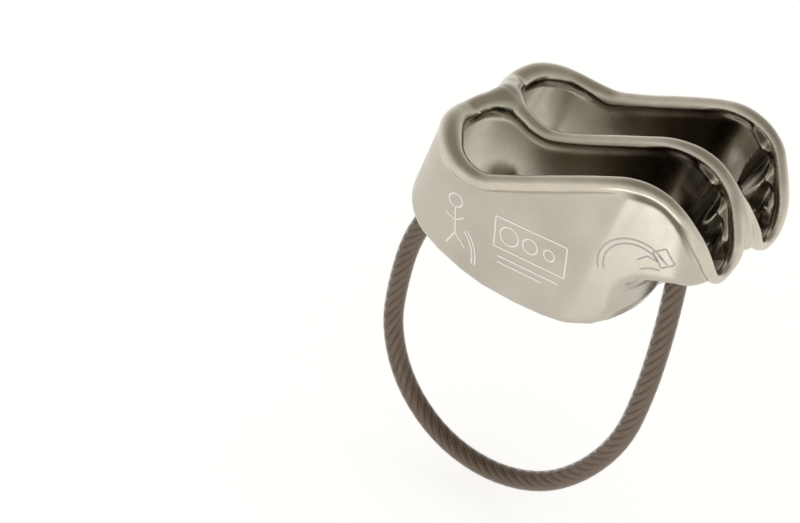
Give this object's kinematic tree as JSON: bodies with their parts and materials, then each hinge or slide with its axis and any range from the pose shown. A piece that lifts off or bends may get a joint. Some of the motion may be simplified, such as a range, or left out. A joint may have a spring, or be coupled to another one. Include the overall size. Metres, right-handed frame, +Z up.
{
  "type": "belay device",
  "caption": "Tubular belay and abseil device with twin rope slots, toothed brake channels and a flexible keeper loop.",
  "frame": {"origin": "on the mid-plane between the two slots, at the level of the side walls' lower edge, where the carabiner seats", "axes": "+X from the climber end to the brake end with its toothed channels, +Y across from the near slot to the far slot, +Z up to the slots' mouths"},
  "size_m": [0.0737, 0.0406, 0.0923],
  "materials": {
    "anodised_body": "polished, anodised titanium grey",
    "clear_brown_sheath": "translucent brown, slightly glossy",
    "steel_rope": "twisted strands",
    "ferrule_steel": "swaged"
  },
  "bodies": {
    "device": {"body": "anodised_body", "wire_rope_end_climber": "steel_rope", "sheath_end_climber": "clear_brown_sheath", "ferrule_climber": "ferrule_steel", "wire_rope_end_brake": "steel_rope", "sheath_end_brake": "clear_brown_sheath", "ferrule_brake": "ferrule_steel"},
    "keeper": {"keeper_sheath": "clear_brown_sheath", "keeper_wire_rope": "steel_rope"}
  },
  "joints": [
    {"name": "keeper_flex", "type": "hinge", "parent": "device", "child": "keeper", "pos_m": [-0.0196, 0, 0.0056], "axis": [0.9802, 0, 0.1978], "range_deg": [-20, 20], "stiffness_Nm_per_rad": 0.2}
  ]
}
